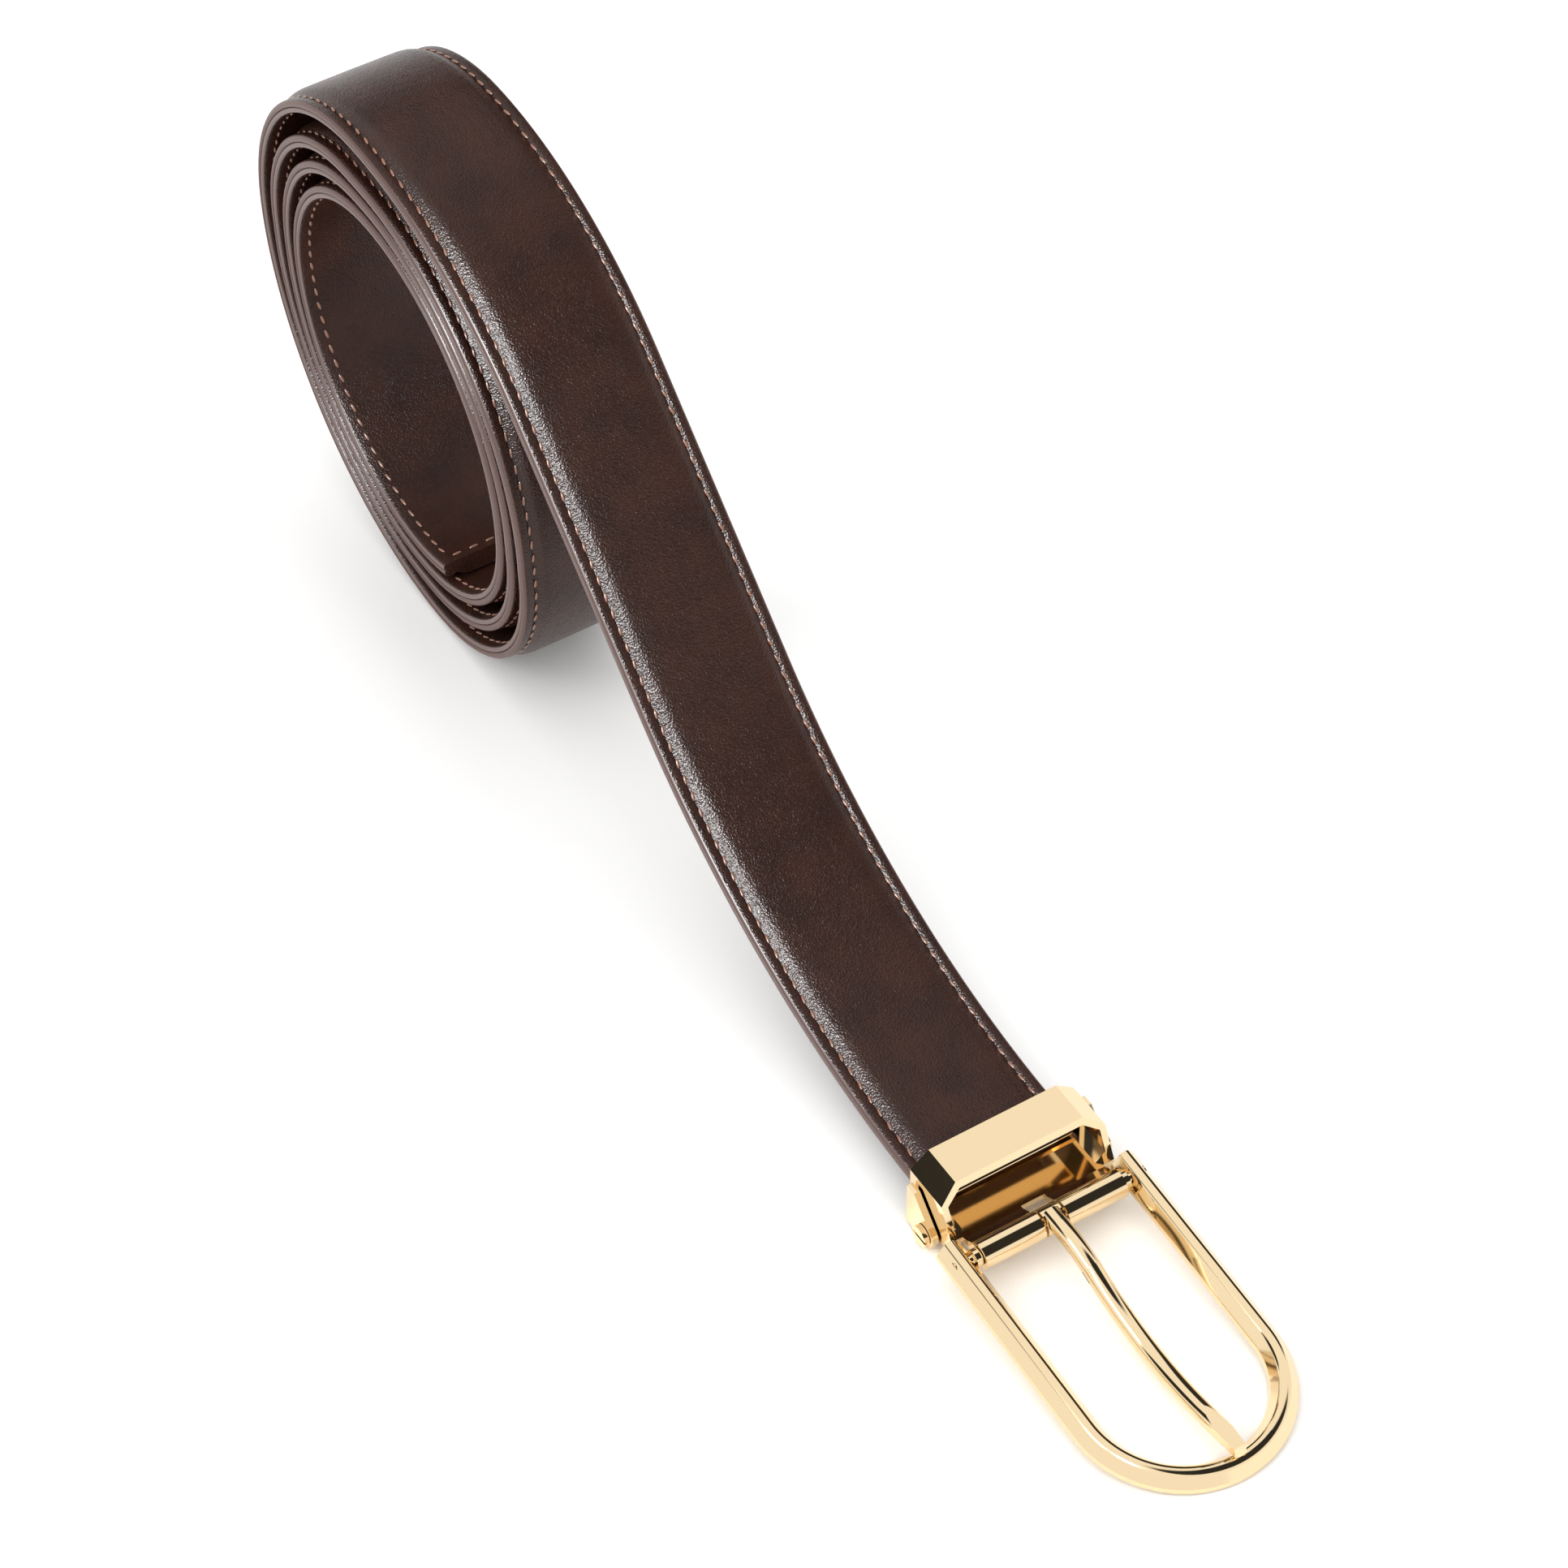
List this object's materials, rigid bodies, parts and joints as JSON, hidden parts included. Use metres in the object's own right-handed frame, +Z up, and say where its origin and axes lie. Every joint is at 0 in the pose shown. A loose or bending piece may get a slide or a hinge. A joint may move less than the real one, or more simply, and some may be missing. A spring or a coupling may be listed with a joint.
{
  "type": "dress belt",
  "caption": "Stitched leather dress belt coiled on its edge, with a box-loop clamp buckle, hinged oval frame and prong.",
  "frame": {"origin": "bottom centre of the whole belt as it lies coiled on a table", "axes": "+X from the coil to the buckle, +Y across the strap, +Z up"},
  "size_m": [0.3089, 0.0408, 0.1088],
  "materials": {
    "cover_leather": "smooth fine-grained, semi-gloss",
    "lining_leather": "smooth, satin",
    "filler_board": "matt fibre board",
    "thread": "waxed thread",
    "gold_plate": "polished pale gold plate",
    "pin_steel": "plain"
  },
  "bodies": {
    "strap_and_loop": {"strap_cover": "cover_leather", "strap_filler": "filler_board", "strap_lining": "lining_leather", "near_edge_stitching": "thread", "far_edge_stitching": "thread", "tail_stitching": "thread", "box_loop": "gold_plate", "hinge_pin": "pin_steel", "clamp_screws": "gold_plate"},
    "frame": {"buckle_frame": "gold_plate"},
    "prong": {"prong": "gold_plate"},
    "clamp_jaw": {"clamp_jaw": "gold_plate"}
  },
  "joints": [
    {"name": "frame_hinge", "type": "hinge", "parent": "strap_and_loop", "child": "frame", "pos_m": [0.09662, 0, 0.0064], "axis": [0, -1, 0], "range_deg": [-30, 60]},
    {"name": "prong_hinge", "type": "hinge", "parent": "frame", "child": "prong", "pos_m": [0.09662, 0, 0.0064], "axis": [0, -1, 0], "range_deg": [0, 45]},
    {"name": "jaw_hinge", "type": "hinge", "parent": "strap_and_loop", "child": "clamp_jaw", "pos_m": [0.08532, 0, 0.0028], "axis": [0, -1, 0], "range_deg": [0, 60]}
  ]
}
